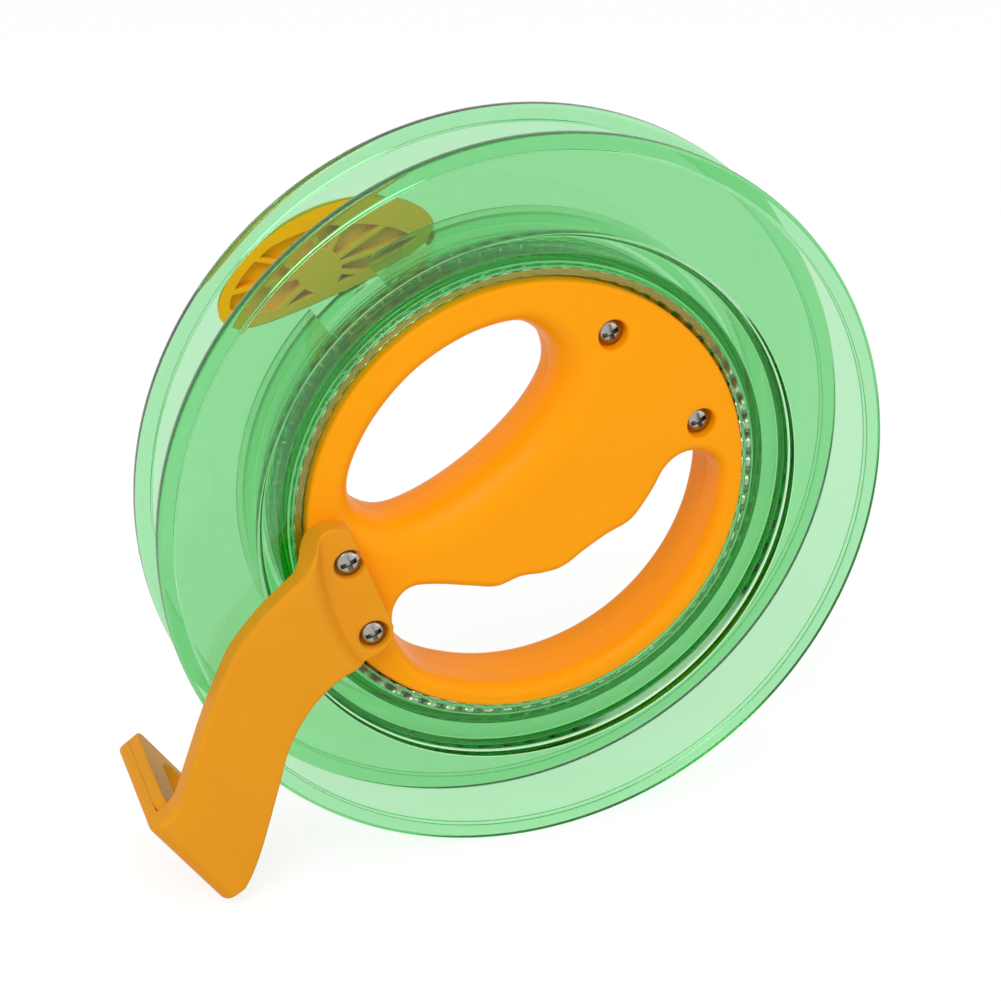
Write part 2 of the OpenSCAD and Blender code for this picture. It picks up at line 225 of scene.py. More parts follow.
def lathe(profile, segments, closed=True):
    """A profile of (radius, height) turned about the spin axis: x = r cos a, y = r sin a, z = height."""
    ring = circle(1, segments)
    rings = [at_height(radius * ring, height) for radius, height in profile]
    return np.concatenate(rings), grid_faces(len(profile), segments, rows_closed=closed)


def prism(outline, low, high):
    """A flat outline carried straight up from one height to another."""
    return loft([at_height(outline, low), at_height(outline, high)])


# %% [markdown]
# ## Materials
# The real reel has four finishes. The spool is moulded in a clear green plastic that is pale where it is
# thin and dark where one looks along it, so its colour has to come from the depth of the plastic, not from
# its surface. The hub, arm and knob are moulded in orange ABS with a fine satin grain. The arm's orange is a
# little duller than the hub's. The knob's is lighter and yellower, partly its own colour and partly
# painted light that makes up for the shade its face sits in behind the flange. The balls are polished
# steel, and the screws are bright zinc-plated steel.

# %% Colour and node helpers


def colour(code):
    """An sRGB hex code as the linear colour, with alpha, that shaders work in."""
    parts = [int(code[place:place + 2], 16) / 255 for place in (1, 3, 5)]
    linear = [part / 12.92 if part <= 0.04045 else ((part + 0.055) / 1.055)**2.4 for part in parts]
    return (*linear, 1.0)


def add_node(tree, kind, inputs=None, **settings):
    """Adds a shader node, sets its properties, and fills its inputs with values or with other sockets."""
    node = tree.nodes.new(kind)
    for name, value in settings.items():
        setattr(node, name, value)
    for name, value in (inputs or {}).items():
        if isinstance(value, bpy.types.NodeSocket):
            tree.links.new(value, node.inputs[name])
        else:
            node.inputs[name].default_value = value
    return node


def new_material(name):
    """An empty node material with its output, and the point on the object that its patterns read."""
    material = bpy.data.materials.new(name)
    material.use_nodes = True
    tree = material.node_tree
    tree.nodes.clear()
    output = add_node(tree, "ShaderNodeOutputMaterial")
    point = add_node(tree, "ShaderNodeTexCoord").outputs["Object"]
    return material, tree, output, point


def per_metre(millimetres):
    """The texture scale that repeats a pattern at a real size in millimetres."""
    return 1000 / millimetres


# %% [markdown]
# ### Orange ABS, moulded with a satin grain
# ABS from a spark-eroded mould has a grain of about half a millimetre that spreads its highlights, and faint
# cloudy flow marks some centimetres long. A noise texture at each size gives both: the fine one moves the
# surface a few micrometres and varies the gloss, and the coarse one shifts the colour a little. A painted
# picture could hold both too, but noise has no seams and keeps its real size on every piece.

# %% Orange plastic
# Grain and flow marks in mm, and the depth of the grain in metres
GRAIN = 0.45
FLOW = 22
GRAIN_DEPTH = 0.00008
GRAIN_STRENGTH = 0.12
GLOSS_SPREAD = 0.06
SATIN_SHINE = 0.08


def satin_abs(name, base, shade, roughness):
    """ABS whose colour drifts between two close shades, with a fine grain and a drifting gloss."""
    material, tree, output, point = new_material(name)
    flow = add_node(tree, "ShaderNodeTexNoise", {"Vector": point, "Scale": per_metre(FLOW), "Detail": 3.0})
    grain = add_node(tree, "ShaderNodeTexNoise", {"Vector": point, "Scale": per_metre(GRAIN), "Detail": 2.0})
    tint = add_node(tree, "ShaderNodeMix", {0: flow.outputs["Fac"], 6: colour(base), 7: colour(shade)},
                    data_type="RGBA")
    gloss = add_node(tree, "ShaderNodeMapRange", {"Value": grain.outputs["Fac"], "From Min": 0.3,
                                                  "From Max": 0.7, "To Min": roughness - GLOSS_SPREAD,
                                                  "To Max": roughness + GLOSS_SPREAD})
    bump = add_node(tree, "ShaderNodeBump", {"Height": grain.outputs["Fac"], "Strength": GRAIN_STRENGTH,
                                             "Distance": GRAIN_DEPTH})
    shader = add_node(tree, "ShaderNodeBsdfPrincipled", {
        "Base Color": tint.outputs[2], "Roughness": gloss.outputs["Result"], "IOR": 1.53,
        "Specular IOR Level": SATIN_SHINE, "Normal": bump.outputs["Normal"]})
    tree.links.new(shader.outputs["BSDF"], output.inputs["Surface"])
    return material


hub_orange = satin_abs("orange_abs_hub", "#fda308", "#f99b04", 0.36)
arm_orange = satin_abs("orange_abs_arm", "#e99c20", "#e19318", 0.44)
# The knob's orange is painted lighter than its plastic, to make up for the shade its face sits in behind the
# flange.
knob_orange_painted_lighter = satin_abs("orange_abs_knob_painted_lighter", "#ffb81c", "#f8ab12", 0.38)
print("orange finishes:", hub_orange.name, arm_orange.name, knob_orange_painted_lighter.name)

# %% [markdown]
# ### Clear green plastic
# A tinted clear moulding takes a little red and blue out of the light for every millimetre that the light
# runs inside it. The glossy surface takes only a little, and Volume Absorption does the tinting, so a plate
# of 2 mm stays pale and an edge looks dark green by itself. A tinted surface alone would make thin and thick
# places equally green. Faint handling scuffs vary the gloss. Lamp light can't find its way through bent
# plastic easily, so for lamps the plastic is plainly see-through.

# %% Clear green plastic
SCUFF = 6
SURFACE_TINT = colour("#f9f9f1")
ABSORPTION = 290
THIN_TINT = colour("#45e88e")
LAMP_TINT = colour("#f6fcf3")

clear_green, tree, output, point = new_material("clear_green_plastic")
scuffs = add_node(tree, "ShaderNodeTexNoise", {"Vector": point, "Scale": per_metre(SCUFF), "Detail": 6.0})
gloss = add_node(tree, "ShaderNodeMapRange", {"Value": scuffs.outputs["Fac"], "From Min": 0.35,
                                              "From Max": 0.75, "To Min": 0.015, "To Max": 0.07})
shader = add_node(tree, "ShaderNodeBsdfPrincipled", {
    "Base Color": SURFACE_TINT, "Roughness": gloss.outputs["Result"], "IOR": 1.49,
    "Transmission Weight": 1.0})
depth = add_node(tree, "ShaderNodeVolumeAbsorption", {"Color": THIN_TINT, "Density": ABSORPTION})
lamp_way = add_node(tree, "ShaderNodeBsdfTransparent", {"Color": LAMP_TINT})
lamp_rays = add_node(tree, "ShaderNodeLightPath").outputs["Is Shadow Ray"]
either = add_node(tree, "ShaderNodeMixShader", {0: lamp_rays, 1: shader.outputs[0], 2: lamp_way.outputs[0]})
tree.links.new(either.outputs[0], output.inputs["Surface"])
tree.links.new(depth.outputs["Volume"], output.inputs["Volume"])
passed = [surface * math.exp(-(1 - part) * ABSORPTION * 0.002)
          for surface, part in zip(SURFACE_TINT, THIN_TINT)]
print("2 mm of plastic lets through", np.round(passed[:3], 2))

# %% [markdown]
# ### Steel
# The balls are polished and the screws are zinc plated. Both are bare metal with a slightly uneven gloss
# from handling, so one function makes both and only the roughness and the size of the marks differ.

# %% Steel


def bare_steel(name, tone, roughness, marks):
    """Metal whose gloss drifts over marks of a real size in mm."""
    material, tree, output, point = new_material(name)
    noise = add_node(tree, "ShaderNodeTexNoise", {"Vector": point, "Scale": per_metre(marks), "Detail": 4.0})
    gloss = add_node(tree, "ShaderNodeMapRange", {"Value": noise.outputs["Fac"], "From Min": 0.3,
                                                  "From Max": 0.7, "To Min": roughness * 0.7,
                                                  "To Max": roughness * 1.4})
    shader = add_node(tree, "ShaderNodeBsdfPrincipled", {
        "Base Color": colour(tone), "Metallic": 1.0, "Roughness": gloss.outputs["Result"]})
    tree.links.new(shader.outputs["BSDF"], output.inputs["Surface"])
    return material


ball_steel = bare_steel("polished_bearing_steel", "#c9c8c4", 0.12, 1.5)
screw_steel = bare_steel("zinc_plated_steel", "#a8a49d", 0.24, 0.8)
print("steel finishes:", ball_steel.name, screw_steel.name)

# %% [markdown]
# ## The spool
# The line is wound between two clear flanges. Each half of the spool is a body of revolution: its section
# is one closed outline, which is turned about the spin axis. Blender's Spin or Screw would do the same,
# but a grid worked out at once is exact and quick. Small corner rounds give the edges their bright lines.

# %% Spool values
AROUND = 288
REEL_HALF = 14
FLANGE_R = 90
BEAD_IN_R = 86
BEAD_T = 3.2
PLATE_OUT = 13.5
PLATE_IN = 11.3
DRUM_R = 66.3
DRUM_IN_R = 65
COLLAR_IN_R = 57.7
COLLAR_OUT_R = 60.5
WEB_TOP = 9.2
WEB_T = 2
RECESS_IN_R = DRUM_IN_R + 0.3
RECESS_OUT_R = DRUM_R + 0.5
LIP_R = 55.7
LIP_LOW = 7.45
PITCH_R = 56.5
ROW_Z = 5.2
GROOVE_R = 2.3
# The hair's breadth left between faces that touch on the real reel
AIR = 0.03


def groove():
    """The ball groove in the collar, then the lip over the balls, whose underside falls towards the hub."""
    half = math.degrees(math.acos((COLLAR_IN_R - PITCH_R) / GROOVE_R))
    around_ball = at_height(arc((PITCH_R, ROW_Z), GROOVE_R, -half, half, 11), 0)
    under_lip = [[COLLAR_IN_R, WEB_TOP - 0.4, 0.1], [COLLAR_IN_R - 0.4, WEB_TOP - 0.3, 0.1],
                 [LIP_R, LIP_LOW, 0.1]]
    return np.concatenate([around_ball, under_lip])


# Corners of a section are (radius, height, corner round)
BEAD = [[BEAD_IN_R, PLATE_OUT, 0.4], [BEAD_IN_R, REEL_HALF, 0.4], [FLANGE_R, REEL_HALF, 1.1],
        [FLANGE_R, REEL_HALF - BEAD_T, 1.1], [BEAD_IN_R, REEL_HALF - BEAD_T, 0.4],
        [BEAD_IN_R, PLATE_IN, 0.4]]
front_section = rounded(np.concatenate([
    [[COLLAR_IN_R, AIR, 0.2]], groove(),
    [[LIP_R, WEB_TOP, 0.3], [RECESS_IN_R, WEB_TOP, 0.4], [RECESS_OUT_R, PLATE_OUT, 0.4]], BEAD,
    [[DRUM_R, PLATE_IN, 0.6], [DRUM_R, AIR - PLATE_IN, 0.2], [DRUM_IN_R, AIR - PLATE_IN, 0.2],
     [DRUM_IN_R, WEB_TOP - WEB_T, 0.6], [COLLAR_OUT_R, WEB_TOP - WEB_T, 0.6], [COLLAR_OUT_R, AIR, 0.2]]]))
print("the front section has", len(front_section), "points")

# %% [markdown]
# ### The front half
# The front half carries the drum that the line is wound on. The line's end is tied through a small hole in
# the drum, and a notch runs in from the drum's rear edge beside the winding knob. A lathe can't make either,
# so both are cut out of the turned shape.

# %% Front half of the spool
TIE_ANGLE = 31
TIE_R = 1.3
TIE_Z = -7
NOTCH_ANGLE = math.radians(272.5)
NOTCH_HALF_W = 8.3
NOTCH_TOP = 6.7

spool_front = make_object("spool_front_shell", [lathe(front_section, AROUND)])
tie_turn = math.radians(TIE_ANGLE)
tie_out = np.array([math.cos(tie_turn), math.sin(tie_turn), 0])
tie_side = np.array([-math.sin(tie_turn), math.cos(tie_turn), 0])
tie_ring = circle(TIE_R, 24)
tie_hole = [radius * tie_out + tie_ring[:, :1] * tie_side + [0, 0, TIE_Z] + tie_ring[:, 1:] * [0, 0, 1]
            for radius in (DRUM_IN_R - 1, DRUM_R + 1)]
carve(spool_front, [loft(tie_hole)])
notch_out = np.array([math.cos(NOTCH_ANGLE), math.sin(NOTCH_ANGLE)])
notch_side = np.array([-notch_out[1], notch_out[0]]) * NOTCH_HALF_W
near, far = notch_out * (DRUM_IN_R - 1), notch_out * (DRUM_R + 1)
notch = np.array([near - notch_side, far - notch_side, far + notch_side, near + notch_side])
carve(spool_front, [prism(notch, -PLATE_IN - 1, NOTCH_TOP)])
dress(spool_front, clear_green, "spool", ["spool_front"])

# %% [markdown]
# ## The rear half and its window
# The rear half has a low spigot that centres it in the drum, and a window for the winding knob. The
# window's outline is an oval that is bent along the rim and leans outwards at one end, so it is a function
# of one angle in polar coordinates. The window widens a little inwards, so the knob's face hides its wall.

# %% Rear half of the spool
KNOB_R = 73.2
KNOB_ANGLE = math.radians(270)
KNOB_HALF_L = 25.5
KNOB_HALF_W = 10
KNOB_LEAN = 6.6
WINDOW_FLARE = 0.8
SPIGOT_R = 63.7
SPIGOT_IN_R = 61.7
SPIGOT_TOP = 8.8


def rim_oval(mid_r, half_l, half_w, slope):
    """An oval bent along the rim: -cos t along it and sin t across it, and a slope outwards as it goes."""
    t = np.arange(160) / 160 * 2 * math.pi
    along = -half_l * np.cos(t)
    turn = KNOB_ANGLE + along / KNOB_R
    radius = mid_r + half_w * np.sin(t) + slope * along
    return np.stack([radius * np.cos(turn), radius * np.sin(turn)], axis=-1)


def knob_oval(growth=0):
    """The knob's oval with both of its half sizes grown."""
    return rim_oval(KNOB_R, KNOB_HALF_L + growth, KNOB_HALF_W + growth, KNOB_LEAN / KNOB_HALF_L)


mirrored = [1, -1, 1]
rear_section = rounded(np.concatenate([
    [[COLLAR_IN_R, AIR, 0.2]], groove(),
    [[LIP_R, WEB_TOP, 0.3], [COLLAR_IN_R, WEB_TOP, 0.3], [COLLAR_IN_R, PLATE_OUT, 0.5]], BEAD,
    [[SPIGOT_R, PLATE_IN, 0.2], [SPIGOT_R, SPIGOT_TOP, 0.4], [SPIGOT_IN_R, SPIGOT_TOP, 0.4],
     [SPIGOT_IN_R, PLATE_IN, 0.2], [COLLAR_OUT_R, PLATE_IN, 0.4], [COLLAR_OUT_R, AIR, 0.2]]]) * mirrored)
spool_rear = make_object("spool_rear_shell", [lathe(rear_section, AROUND)])
window = [(0, -REEL_HALF - 1), (0, -PLATE_OUT), (WINDOW_FLARE, -PLATE_IN), (WINDOW_FLARE, -SPIGOT_TOP + 1)]
carve(spool_rear, [loft([at_height(knob_oval(growth), height) for growth, height in window])])
dress(spool_rear, clear_green, "spool", ["spool_rear"])

# %% [markdown]
# ## The winding knob
# The knob fills the window, and its grip narrows behind the flange to a rounded end. An extruded oval with a
# bevel could be the body, but a run of rings over the oval, each with a growth and a height, also gives the
# lip behind the flange and the widening plug in one go.

# %% Body of the knob
KNOB_FAR = -27
KNOB_ROUND = 4.5
KNOB_TAPER = 3
KNOB_LIP = 0.5
KNOB_LIP_T = 1
KNOB_FACE = -11.4
# How far the plug presses into the window's wall
PRESS = 0.03

bend = np.radians(np.linspace(0, 90, 9))
grip = np.column_stack([KNOB_ROUND * (np.sin(bend) - 1) - KNOB_TAPER,
                        KNOB_FAR + KNOB_ROUND * (1 - np.cos(bend))])
lip_low = -PLATE_OUT - KNOB_LIP_T
plug = [[0, lip_low], [KNOB_LIP - 0.2, lip_low], [KNOB_LIP, lip_low + 0.2], [KNOB_LIP, -PLATE_OUT - AIR],
        [PRESS, -PLATE_OUT - AIR], [WINDOW_FLARE, KNOB_FACE - 0.1], [WINDOW_FLARE - 0.1, KNOB_FACE]]
body = loft([at_height(knob_oval(growth), height) for growth, height in np.concatenate([grip, plug])])
knob = make_object("knob_shell", [body])
print("the knob stands", -PLATE_OUT - KNOB_FAR, "mm behind the flange")

# %% [markdown]
# ### Pockets in the knob's face
# Thin ribs fan out from a plain boss in the knob's face, with pockets between them that save plastic. A
# pocket's outline is easiest in polar form about the boss, because its sides follow two ribs and its far end
# follows whichever of two ovals is nearer: one inside the knob's edge, and one that leans more.

# %% Pockets of the knob
KNOB_RIM = 1.8
POCKET_FLOOR = -14.2
POCKET_INWARD = 3.2
POCKET_HALF_L = 23
POCKET_HALF_W = 9.7
POCKET_SLOPE = 0.485
BOSS = (4, -71)
BOSS_R = 5.4
RIB_T = 1.3
RIB_ANGLES = [6, 45, 100, 135, 158, 175, 205, 239, 309, 334]

pocket_ovals = (knob_oval(-KNOB_RIM),
                rim_oval(KNOB_R - POCKET_INWARD, POCKET_HALF_L, POCKET_HALF_W, POCKET_SLOPE))


def reach(angle):
    """How far the nearer of the two ovals lies from the boss's middle, in a direction in degrees."""
    ways = [loop - BOSS for loop in pocket_ovals]
    return np.minimum(*[np.interp(angle, np.degrees(np.arctan2(way[:, 1], way[:, 0])),
                                  np.linalg.norm(way, axis=1), period=360) for way in ways])


def pocket(start, stop):
    """The room between two ribs: half a rib away from both, from the boss out to the reach."""
    outer = reach(np.array([start, stop]))
    far_margin = np.degrees(np.arcsin(RIB_T / 2 / outer))
    near_margin = math.degrees(math.asin(RIB_T / 2 / BOSS_R))
    far_turn = np.linspace(start + far_margin[0], stop - far_margin[1], 30)
    near_turn = np.linspace(stop - near_margin, start + near_margin, 8)
    angle = np.radians(np.concatenate([far_turn, near_turn]))
    radius = np.concatenate([reach(far_turn), np.full(8, BOSS_R)])
    outline = BOSS + np.stack([radius * np.cos(angle), radius * np.sin(angle)], axis=-1)
    mouth = [(0, POCKET_FLOOR), (0, KNOB_FACE - 0.3), (0.09, KNOB_FACE - 0.09), (0.3, KNOB_FACE),
             (0.6, KNOB_FACE + 0.3)]
    return loft([at_height(grown(outline, growth), height) for growth, height in mouth])


for start, stop in zip(RIB_ANGLES, RIB_ANGLES[1:] + [RIB_ANGLES[0] + 360]):
    if reach((start + stop) / 2) > BOSS_R:
        carve(knob, [pocket(start, stop)])
dress(knob, knob_orange_painted_lighter, "spool", ["knob"])

# %% [markdown]
# ## The hub
# The hub is the hand grip: two moulded halves that meet on a fine parting line in the middle. Its face is
# slightly domed, the palm hole has a large soft rounding on the bar's side, and the finger hole has four
# waves. A lathe can't make this face, so its flat plan is filled with Delaunay triangles between the
# edge, the holes and the screw seats, and every point is then lifted to the dome. The roundings are rings
# that run down from the face into the holes.

# %% Hub outlines
HUB_R = 54.6
HUB_RACE_R = 54.2
HUB_EDGE_ROUND = 1
HUB_CROWN = 12
HUB_EDGE = 10.2
PALM_ROUND = 9
PALM_SHARE = 0.45
FINGER_ROUND = 4
FINGER_SPREAD = 3
FINGER_RING_R = 49.2
HEAD_R = 3
HEAD_ROOM = 0.6
SEAT_AROUND = 48
GRIP_SEAT = 6.7
PARTING = 0.25
GRIP_SCREWS = [(-38.9, -20.9), (-43.2, 13.3)]
ARM_SCREWS = [(41.5, -21.8), (48.1, -2.9)]
# How far a counterbore's rounded mouth is grown at a depth below its face
MOUTH = [(0.9, 0), (0.4, 0.15), (0.12, 0.5), (0, 0.9)]

face_r = HUB_R - HUB_EDGE_ROUND
palm = smooth_loop([[3, -12.8], [-11, -14.4], [-21.5, -18.8], [-25.8, -25], [-26, -31.5], [-22.5, -38],
                    [-12, -42.9], [1, -44.5], [14, -42.2], [25, -37], [31, -31], [31.8, -24.5],
                    [27.5, -17.8], [17, -14]], 12)
finger_waves = [[-40.6, 26], [-39, 20.5], [-35, 17.4], [-30, 17.3], [-24, 20], [-16, 22.4], [-9, 21.2],
                [-3, 20.6], [4, 20.3], [9, 18], [13.5, 14.8], [19.5, 12.6], [24, 8], [30, 1.5],
                [35, -2.2], [40, -1.2], [43.6, 2.6], [45.8, 8.5]]
finger = smooth_loop(np.concatenate([arc((0, 0), FINGER_RING_R, 22, 140, 10), finger_waves]), 10)


def dome(points):
    """The height of the face: the crown less a fall that grows with the square of the radius."""
    radius = np.linalg.norm(points, axis=-1)
    return HUB_CROWN - (HUB_CROWN - HUB_EDGE) * (radius / face_r)**2


print("palm hole", np.round(np.ptp(palm, axis=0)), "finger hole", np.round(np.ptp(finger, axis=0)), "mm")

# %% [markdown]
# ### Filling a plan with triangles
# The face is a plan with holes. Delaunay triangles between its outlines and an even field of points keep the
# shading calm, where Blender's own fill would make long slivers across the face.

# %% Sheet between outlines
ROW_SHARE = 0.866
EDGE_ROOM = 0.6


def inside(points, loops):
    """True for points that a line running off to the right leaves across an odd number of edges."""
    starts = np.concatenate(loops)
    ends = np.concatenate([np.roll(loop, -1, axis=0) for loop in loops])
    x, y = points[:, :1], points[:, 1:]
    spans = (starts[:, 1] > y) != (ends[:, 1] > y)
    rise = np.where(ends[:, 1] == starts[:, 1], 1, ends[:, 1] - starts[:, 1])
    crossing = starts[:, 0] + (y - starts[:, 1]) * (ends[:, 0] - starts[:, 0]) / rise
    return np.sum(spans & (crossing > x), axis=1) % 2 == 1


def sheet(loops, height, pitch):
    """Delaunay triangles over the ground between an outer loop and its holes, lifted to a height."""
    edge = np.concatenate(loops)
    far = np.abs(edge).max()
    across, along = np.meshgrid(np.arange(-far, far, pitch), np.arange(-far, far, pitch * ROW_SHARE))
    across[1::2] += pitch / 2
    fill = np.stack([across.ravel(), along.ravel()], axis=-1)
    fill = fill[inside(fill, loops)]
    room = np.linalg.norm(fill[:, None] - edge[None], axis=-1).min(axis=1)
    fill = fill[room > pitch * EDGE_ROOM]
    first = np.cumsum([0] + [len(loop) for loop in loops])
    sides = np.concatenate([np.column_stack([start + np.arange(len(loop)),
                                             start + (np.arange(len(loop)) + 1) % len(loop)])
                            for start, loop in zip(first, loops)])
    corners = [Vector(place) for place in np.concatenate([edge, fill]).tolist()]
    found = delaunay_2d_cdt(corners, sides.tolist(), [], 0, 1e-7)
    points = np.array([place[:] for place in found[0]])
    triangles = np.array(found[2])
    kept = triangles[inside(points[triangles].mean(axis=1), loops)]
    return at_height(points, height(points)), kept.tolist()


# %% [markdown]
# ### Both halves of the hub
# A half is made of the domed face, the turned edge with its ball groove, the walls of both holes, the parting
# face and the seats of the grip screws. The rear half is the same shape mirrored, without seats, because the
# screws go in from the front.

# %% Both halves of the hub
HUB_AROUND = 240
FACE_PITCH = 1.9
PARTING_PITCH = 6
turn_in = np.radians(np.linspace(0, 90, 12))


def hole_wall(loop, depth, spread, share):
    """Rings from the parting line up the wall and over the rounding, on to the domed face."""
    rings = [at_height(grown(loop, PARTING), AIR), at_height(loop, PARTING + AIR)]
    for angle in turn_in:
        ring = grown(loop, spread * (1 - math.cos(angle)), share)
        rings.append(at_height(ring, dome(ring) - depth + depth * math.sin(angle)))
    return loft(rings, ends=(False, False))


def screw_seat(place):
    """Rings from the rounded mouth of a counterbore down its wall to the seat, which is closed."""
    rings = []
    for growth, drop in MOUTH:
        ring = circle(HEAD_R + HEAD_ROOM + growth, SEAT_AROUND, place)
        rings.append(at_height(ring, dome(ring) - drop))
    rings.append(at_height(circle(HEAD_R + HEAD_ROOM, SEAT_AROUND, place), GRIP_SEAT))
    return loft(rings, ends=(False, True))


def hub_half(name, seats, side):
    """Half of the hub above the parting line, or below it where the side is -1."""
    mouths = [grown(palm, PALM_ROUND, PALM_SHARE), grown(finger, FINGER_SPREAD)]
    mouths += [circle(HEAD_R + HEAD_ROOM + MOUTH[0][0], SEAT_AROUND, place) for place in seats]
    hub_groove = math.degrees(math.acos((HUB_R - PITCH_R) / GROOVE_R))
    edge = np.concatenate([arc((face_r, HUB_EDGE - HUB_EDGE_ROUND), HUB_EDGE_ROUND, 90, 0, 8),
                           arc((PITCH_R, ROW_Z), GROOVE_R, hub_groove, 180, 7),
                           [[HUB_RACE_R, PARTING + AIR], [HUB_RACE_R - PARTING, AIR]]])
    patches = [sheet([circle(face_r, HUB_AROUND)] + mouths, dome, FACE_PITCH),
               lathe(edge, HUB_AROUND, closed=False),
               hole_wall(palm, PALM_ROUND, PALM_ROUND, PALM_SHARE),
               hole_wall(finger, FINGER_ROUND, FINGER_SPREAD, 1.0),
               sheet([circle(HUB_RACE_R - PARTING, HUB_AROUND), grown(palm, PARTING), grown(finger, PARTING)],
                     lambda points: np.full(len(points), AIR), PARTING_PITCH)]
    patches += [screw_seat(place) for place in seats]
    return make_object(name, [(points * [1, 1, side], faces) for points, faces in patches])


hub_front = hub_half("hub_front_shell", GRIP_SCREWS, 1)
dress(hub_front, hub_orange, "hub", ["hub_front"])
hub_rear = hub_half("hub_rear_shell", [], -1)
dress(hub_rear, hub_orange, "hub", ["hub_rear"])

# %% [markdown]
# ## The guide arm
# The arm is one moulded bar: a screw pad on the hub, a step up over the rim, an S-shaped strap and a hook
# that bends back over both rims. Four rails follow its corners from end to end, and at every station a
# rectangle with rounded corners is stretched between the rails. A curve with a bevel object would keep the
# same width all along, which this arm doesn't.

# %% Bar between four rails
DEEPEST_ROUND = 0.45
SMALLEST_ROUND = 0.01


def bar(front_far, front_near, back_far, back_near, front_round, back_round, end_round, bow=0):
    """A rectangle carried along four rails, bowed along x by bow * 4u(1 - u) at a share u of the way across.
    Its front corners, its back corners and its ends are each rounded by their own distance."""
    count = len(front_far)
    spread = [np.broadcast_to(value, count) for value in (front_round, back_round, bow)]
    table = np.column_stack([front_far, front_near, back_far, back_near, *spread])
    end_turn = np.radians([0, 30, 60, 90])
    slow = end_round * (1 - np.cos(end_turn))
    first_step = np.linalg.norm(back_far[1] - back_far[0])
    last_step = np.linalg.norm(back_far[-1] - back_far[-2])
    station = np.concatenate([slow / first_step, np.arange(1, count - 1), count - 1 - slow[::-1] / last_step])
    inset = np.zeros((len(station), 1))
    inset[:4, 0] = end_round * (1 - np.sin(end_turn))
    inset[-4:, 0] = inset[3::-1, 0]
    low = np.minimum(station.astype(int), count - 2)
    table = table[low] + (table[low + 1] - table[low]) * (station - low)[:, None]
    front_far, front_near, back_far, back_near = np.split(table[:, None, :12], 4, axis=-1)
    front_round, back_round, bow = table[:, 12:].T
    width = np.linalg.norm(back_near - back_far, axis=-1)
    depth = np.linalg.norm(front_far - back_far, axis=-1)
    turn = np.linspace(0, 1, 7)
    inner = np.linspace(0, 1, 14)[1:-1]

    def over_face(corner_round):
        """From the far corner to the near corner over one face: shares across, and shares below the face."""
        bend = np.minimum(corner_round[:, None], DEEPEST_ROUND * depth) - inset
        bend = np.maximum(bend, SMALLEST_ROUND)
        across = inset + bend * turn**2
        below = inset + bend * (1 - turn)**2
        middle = across[:, -1:] + (width - 2 * across[:, -1:]) * inner
        across = np.concatenate([across, middle, width - across[:, ::-1]], axis=1)
        below = np.concatenate([below, np.broadcast_to(inset, middle.shape), below[:, ::-1]], axis=1)
        return across / width, below / depth

    front_u, front_w = over_face(front_round)
    back_u, back_w = over_face(back_round)
    u = np.concatenate([back_u, front_u[:, ::-1]], axis=1)[..., None]
    w = np.concatenate([back_w, 1 - front_w[:, ::-1]], axis=1)[..., None]
    back = back_far * (1 - u) + back_near * u
    front = front_far * (1 - u) + front_near * u
    rings = back * (1 - w) + front * w + bow[:, None, None] * 4 * u * (1 - u) * [1, 0, 0]
    points, faces = loft(rings, ends=(False, False))
    columns = rings.shape[1]
    side = np.arange(columns // 2 - 1)
    cap = np.stack([side, side + 1, columns - 2 - side, columns - 1 - side], axis=-1)
    return points, faces + cap.tolist() + (cap + (len(rings) - 1) * columns).tolist()


# %% Rails of the pad and the strap
STRAP_FRONT = 21.4
STRAP_BACK = 15.4
PAD_TOP = 16.4
PAD_SEAT = 9.6
HOOK_LO = -3.2
HOOK_HI = 26

# Each station: far side x and y, near side x and y, front and back height, how far out the back lies, bow,
# front round and back round
arm_stations = smooth_line([
    [36.2, -28.4, 43.4, -1.4, PAD_TOP, PAD_SEAT, 0, 0, 0.8, 0.2],
    [38.4, -31.4, 45.8, 1.0, PAD_TOP, PAD_SEAT, 0, 0, 0.8, 0.2],
    [40.6, -32.5, 49.6, 1.9, PAD_TOP, PAD_SEAT, 0, 1.2, 0.8, 0.2],
    [42.4, -32.5, 53.6, 0.8, 16.8, PAD_SEAT, 1.5, 2.5, 0.9, 0.2],
    [44.4, -31.8, 55.0, -0.3, 19.4, 11.4, 2.5, 2.8, 1.2, 0.4],
    [47.0, -30.8, 56.4, -1.4, 21.1, 14.6, 2.5, 2.8, 1.5, 0.6],
    [50.6, -29.6, 59.4, -2.1, STRAP_FRONT, STRAP_BACK, 1.5, 2.0, 1.6, 0.6],
    [56.5, -29.1, 65.0, -2.0, STRAP_FRONT, STRAP_BACK, 0, 0.9, 1.6, 0.6],
    [64.0, -28.3, 71.5, -0.6, STRAP_FRONT, STRAP_BACK, 0, 0.2, 1.6, 0.6],
    [74.0, -25.7, 80.0, 3.5, STRAP_FRONT, STRAP_BACK, 0, 0, 1.6, 0.6],
    [82.0, -21.4, 88.5, 10.2, STRAP_FRONT, STRAP_BACK, 0, 0, 1.6, 0.6],
    [90.0, -16.4, 95.0, 15.4, STRAP_FRONT, STRAP_BACK, 0, 0, 1.6, 0.6],
    [100.0, -9.4, 102.0, 20.8, STRAP_FRONT, STRAP_BACK, 0, 0, 1.6, 0.5],
    [107.0, -4.5, 107.5, 24.4, STRAP_FRONT, STRAP_BACK, 0, 0, 1.6, 0.4],
    [111.0, HOOK_LO, 111.0, HOOK_HI, STRAP_FRONT, STRAP_BACK, 0, 0, 1.4, 0.3]], 4)
far_x, far_y, near_x, near_y, front_z, back_z, shift, bow, front_round, back_round = arm_stations.T
front_z = np.minimum(front_z, STRAP_FRONT)
front_far = np.column_stack([far_x, far_y, front_z])
front_near = np.column_stack([near_x, near_y, front_z])
back_far = np.column_stack([far_x + shift, far_y, back_z])
